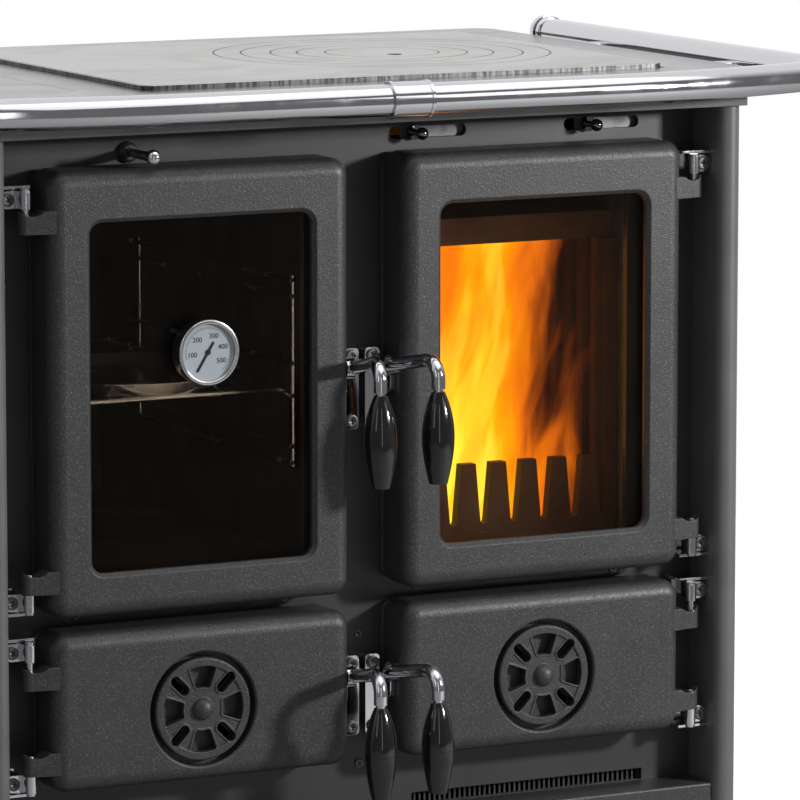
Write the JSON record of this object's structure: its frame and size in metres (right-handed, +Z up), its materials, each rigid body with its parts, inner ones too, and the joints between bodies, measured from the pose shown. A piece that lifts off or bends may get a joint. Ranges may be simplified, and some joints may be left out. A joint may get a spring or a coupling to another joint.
{
  "type": "wood cookstove",
  "caption": "Freestanding wood-burning cookstove with glazed oven and fire doors, lower doors with air wheels, a ground hob with lift-out lids and a round towel rail.",
  "frame": {"origin": "on the floor, at the middle of the overall width and depth", "axes": "+X to the right seen from the front, +Y to the back, +Z up"},
  "size_m": [0.935, 0.687, 0.8646],
  "materials": {
    "black_casting": "anthracite heat-proof paint on cast iron",
    "black_sheet": "satin dark grey heat-proof paint on sheet steel",
    "hob_iron": "ground bare cast iron",
    "chrome": "polished chrome plate",
    "dark_screw": "blackened steel",
    "grip_black": "glossy black turned grip",
    "glass": "heat-proof ceramic pane",
    "rope_seal": "braided glass-fibre rope",
    "oven_enamel": "dark brown oven enamel",
    "fire_iron": "heat-browned cast iron",
    "galvanised": "aluminised sheet steel",
    "steel": "stainless steel"
  },
  "bodies": {
    "stove": {"base_frame": "black_sheet", "levelling_feet": "dark_screw", "side_panel_left": "black_sheet", "side_panel_right": "black_sheet", "back_panel": "black_sheet", "flue_collar": "black_sheet", "front_plate": "black_sheet", "base_rail": "black_casting", "top_frame": "black_casting", "cover_plate": "black_casting", "hob_plate": "hob_iron", "rail_left": "chrome", "rail_right": "chrome", "rail_fittings": "chrome", "rail_posts": "chrome", "hinge_brackets": "chrome", "latch_keepers": "chrome", "front_screws": "dark_screw", "oven_box": "oven_enamel", "oven_racks": "steel", "firebox_casing": "galvanised", "firebox_lining": "fire_iron", "fire_grate": "fire_iron", "log_guard": "fire_iron", "smoke_baffle": "fire_iron", "lower_liners": "galvanised"},
    "hob_ring_1": {"hob_ring_1": "hob_iron"},
    "hob_ring_2": {"hob_ring_2": "hob_iron"},
    "hob_ring_3": {"hob_ring_3": "hob_iron"},
    "hob_ring_4": {"hob_ring_4": "hob_iron"},
    "hob_disc": {"hob_disc": "hob_iron"},
    "oven_door": {"oven_door": "black_casting", "oven_door_glass": "glass", "oven_door_gasket": "rope_seal", "thermometer_body": "steel"},
    "fire_door": {"fire_door": "black_casting", "fire_door_glass": "glass", "fire_door_gasket": "rope_seal"},
    "ash_door": {"ash_door": "black_casting", "ash_door_gasket": "rope_seal"},
    "lower_left_door": {"lower_left_door": "black_casting", "lower_left_gasket": "rope_seal"},
    "air_wheel_left": {"air_wheel_left": "black_casting"},
    "air_wheel_right": {"air_wheel_right": "black_casting"},
    "fire_handle": {"fire_handle_arm": "chrome", "fire_handle_grip": "grip_black"},
    "oven_handle": {"oven_handle_arm": "chrome", "oven_handle_grip": "grip_black"},
    "ash_handle": {"ash_handle_arm": "chrome", "ash_handle_grip": "grip_black"},
    "lower_left_handle": {"lower_left_handle_arm": "chrome", "lower_left_handle_grip": "grip_black"},
    "air_slider_left": {"air_slider_left": "galvanised"},
    "air_slider_right": {"air_slider_right": "galvanised"},
    "bypass_rod": {"bypass_rod": "chrome"},
    "oven_shelf": {"oven_shelf": "steel", "baking_tray": "steel"},
    "ash_pan": {"ash_pan": "galvanised"},
    "wood_drawer": {"wood_drawer": "black_casting"},
    "thermometer_needle": {"thermometer_needle": "dark_screw"}
  },
  "joints": [
    {"name": "oven_door_hinge", "type": "hinge", "parent": "stove", "child": "oven_door", "pos_m": [-0.32, -0.2545, 0.606], "axis": [0, 0, -1], "range_deg": [0, 110]},
    {"name": "fire_door_hinge", "type": "hinge", "parent": "stove", "child": "fire_door", "pos_m": [0.32, -0.2545, 0.606], "axis": [0, 0, 1], "range_deg": [0, 110]},
    {"name": "lower_left_door_hinge", "type": "hinge", "parent": "stove", "child": "lower_left_door", "pos_m": [-0.32, -0.2545, 0.336], "axis": [0, 0, -1], "range_deg": [0, 110]},
    {"name": "ash_door_hinge", "type": "hinge", "parent": "stove", "child": "ash_door", "pos_m": [0.32, -0.2545, 0.336], "axis": [0, 0, 1], "range_deg": [0, 110]},
    {"name": "oven_handle_lift", "type": "hinge", "parent": "oven_door", "child": "oven_handle", "pos_m": [-0.0196, -0.2515, 0.612], "axis": [-1, 0, 0], "range_deg": [0, 50]},
    {"name": "fire_handle_lift", "type": "hinge", "parent": "fire_door", "child": "fire_handle", "pos_m": [0.0236, -0.2515, 0.612], "axis": [-1, 0, 0], "range_deg": [0, 50]},
    {"name": "lower_left_handle_lift", "type": "hinge", "parent": "lower_left_door", "child": "lower_left_handle", "pos_m": [-0.0196, -0.2515, 0.343], "axis": [-1, 0, 0], "range_deg": [0, 50]},
    {"name": "ash_handle_lift", "type": "hinge", "parent": "ash_door", "child": "ash_handle", "pos_m": [0.0236, -0.2515, 0.343], "axis": [-1, 0, 0], "range_deg": [0, 50]},
    {"name": "air_wheel_left_turn", "type": "hinge", "parent": "lower_left_door", "child": "air_wheel_left", "pos_m": [-0.165, -0.2615, 0.33], "axis": [0, 1, 0], "range_deg": [0, 17]},
    {"name": "air_wheel_right_turn", "type": "hinge", "parent": "ash_door", "child": "air_wheel_right", "pos_m": [0.165, -0.2615, 0.33], "axis": [0, 1, 0], "range_deg": [0, 17]},
    {"name": "air_slider_left_slide", "type": "slide", "parent": "stove", "child": "air_slider_left", "axis": [1, 0, 0], "range_m": [-0.017, 0.047]},
    {"name": "air_slider_right_slide", "type": "slide", "parent": "stove", "child": "air_slider_right", "axis": [1, 0, 0], "range_m": [-0.017, 0.047]},
    {"name": "bypass_rod_pull", "type": "slide", "parent": "stove", "child": "bypass_rod", "axis": [0, -1, 0], "range_m": [0, 0.06]},
    {"name": "hob_ring_1_lift", "type": "slide", "parent": "stove", "child": "hob_ring_1", "axis": [0, 0, 1], "range_m": [0, 0.06]},
    {"name": "hob_ring_2_lift", "type": "slide", "parent": "hob_ring_1", "child": "hob_ring_2", "axis": [0, 0, 1], "range_m": [0, 0.06]},
    {"name": "hob_ring_3_lift", "type": "slide", "parent": "hob_ring_2", "child": "hob_ring_3", "axis": [0, 0, 1], "range_m": [0, 0.06]},
    {"name": "hob_ring_4_lift", "type": "slide", "parent": "hob_ring_3", "child": "hob_ring_4", "axis": [0, 0, 1], "range_m": [0, 0.06]},
    {"name": "hob_disc_lift", "type": "slide", "parent": "hob_ring_4", "child": "hob_disc", "axis": [0, 0, 1], "range_m": [0, 0.06]},
    {"name": "wood_drawer_pull", "type": "slide", "parent": "stove", "child": "wood_drawer", "axis": [0, -1, 0], "range_m": [0, 0.35]},
    {"name": "ash_pan_pull", "type": "slide", "parent": "stove", "child": "ash_pan", "axis": [0, -1, 0], "range_m": [0, 0.02]},
    {"name": "oven_shelf_pull", "type": "slide", "parent": "stove", "child": "oven_shelf", "axis": [0, -1, 0], "range_m": [0, 0.02]},
    {"name": "thermometer_needle_turn", "type": "hinge", "parent": "oven_door", "child": "thermometer_needle", "pos_m": [-0.1615, -0.2715, 0.637], "axis": [0, 1, 0], "range_deg": [0, 240]}
  ]
}
